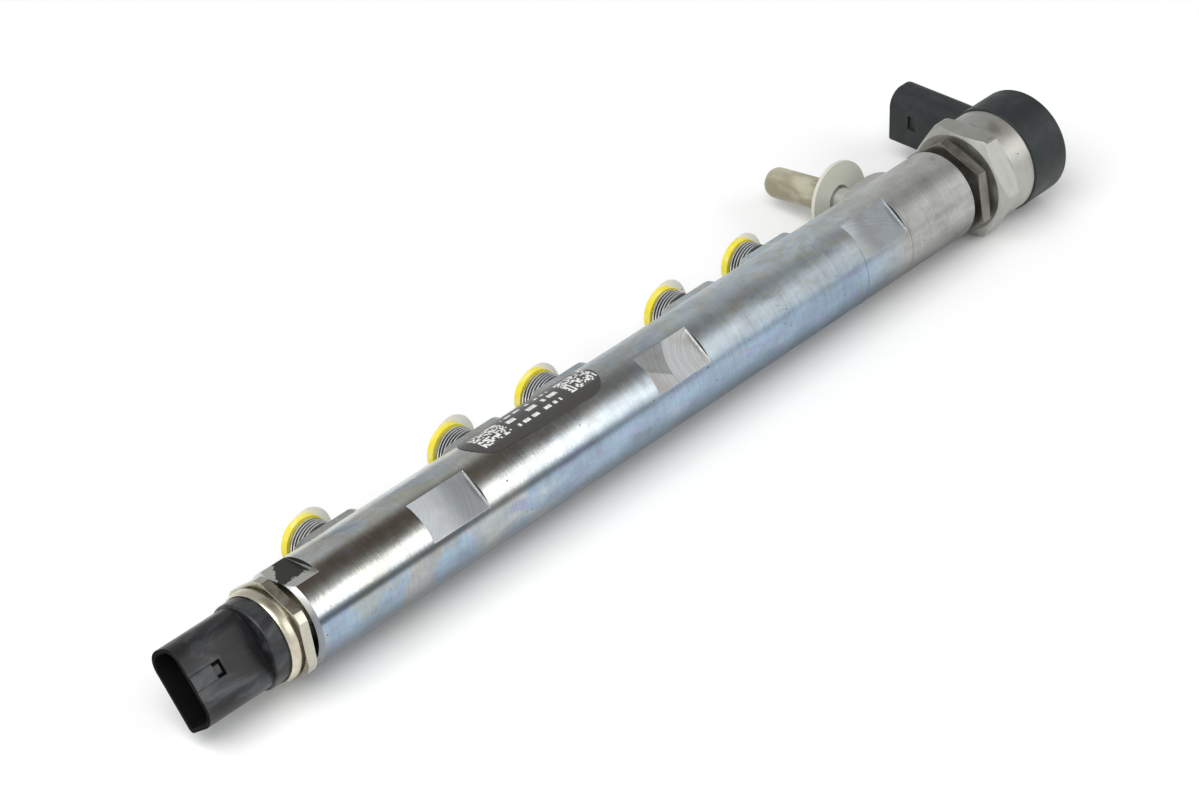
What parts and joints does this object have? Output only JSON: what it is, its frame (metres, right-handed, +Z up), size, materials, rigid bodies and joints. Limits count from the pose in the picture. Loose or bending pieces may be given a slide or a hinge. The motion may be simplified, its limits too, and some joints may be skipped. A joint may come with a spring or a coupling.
{
  "type": "diesel common-rail fuel rail",
  "caption": "Forged steel fuel rail tube with capped pipe nipples, a pressure sensor at one end and a solenoid pressure valve at the other.",
  "frame": {"origin": "bottom centre of the whole part's bounding box, on the surface it lies on", "axes": "+X along the rail from the pressure sensor to the pressure valve, +Z up as it lies on a table, +Y to the side the nipples point to (they point 10.4 degrees below it)"},
  "size_m": [0.3436, 0.0698, 0.0335],
  "materials": {
    "zinc_steel": "zinc plated and passivated, satin, with faint blue and straw tints",
    "valve_steel": "machined, satin",
    "nut_steel": "dark phosphated",
    "sensor_steel": "machined, satin",
    "sleeve_brass": "bright, pale champagne",
    "pipe_steel": "bright",
    "connector_black": "black glass-filled polyamide",
    "valve_black": "dark grey-black glass-filled polyamide",
    "plug_yellow": "soft yellow polyethylene with a pale brim",
    "cap_cream": "cream polyethylene, stained",
    "label_film": "dark grey printed film",
    "seal_rubber": "matt",
    "seal_copper": "soft copper",
    "coil_copper": "enamelled copper winding",
    "contact_tin": "tin plated",
    "tool_steel": "hardened and ground",
    "soft_iron": "plain soft magnetic iron",
    "moulding_brown": "natural engineering plastic",
    "board_green": "lacquered circuit board"
  },
  "bodies": {
    "rail": {"rail_body": "zinc_steel", "return_pipe": "pipe_steel", "return_pipe_cap": "cap_cream", "data_label": "label_film", "sensor_body": "sensor_steel", "sensor_diaphragm": "tool_steel", "sensor_sleeve": "sleeve_brass", "sensor_seal": "seal_rubber", "sensor_circuit_board": "board_green", "sensor_connector": "connector_black", "sensor_terminals": "contact_tin", "valve_lock_nut": "nut_steel", "valve_sealing_ring": "seal_copper", "valve_body": "valve_steel", "valve_seal_ring": "seal_rubber", "valve_seat": "tool_steel", "valve_spring": "tool_steel", "valve_bobbin": "moulding_brown", "valve_coil": "coil_copper", "valve_filter": "moulding_brown", "valve_cap": "valve_black", "valve_terminals": "contact_tin", "port_plug_1": "plug_yellow", "port_plug_2": "plug_yellow", "port_plug_3": "plug_yellow", "port_plug_4": "plug_yellow", "port_plug_5": "plug_yellow"},
    "armature": {"valve_armature": "soft_iron", "valve_pin": "tool_steel", "valve_ball": "tool_steel"}
  },
  "joints": [
    {"name": "valve_opening", "type": "slide", "parent": "rail", "child": "armature", "axis": [1, 0, 0], "range_m": [0, 0.0004], "stiffness_N_per_m": 2000, "springref_m": -0.002, "deforming": ["valve_spring"]}
  ]
}
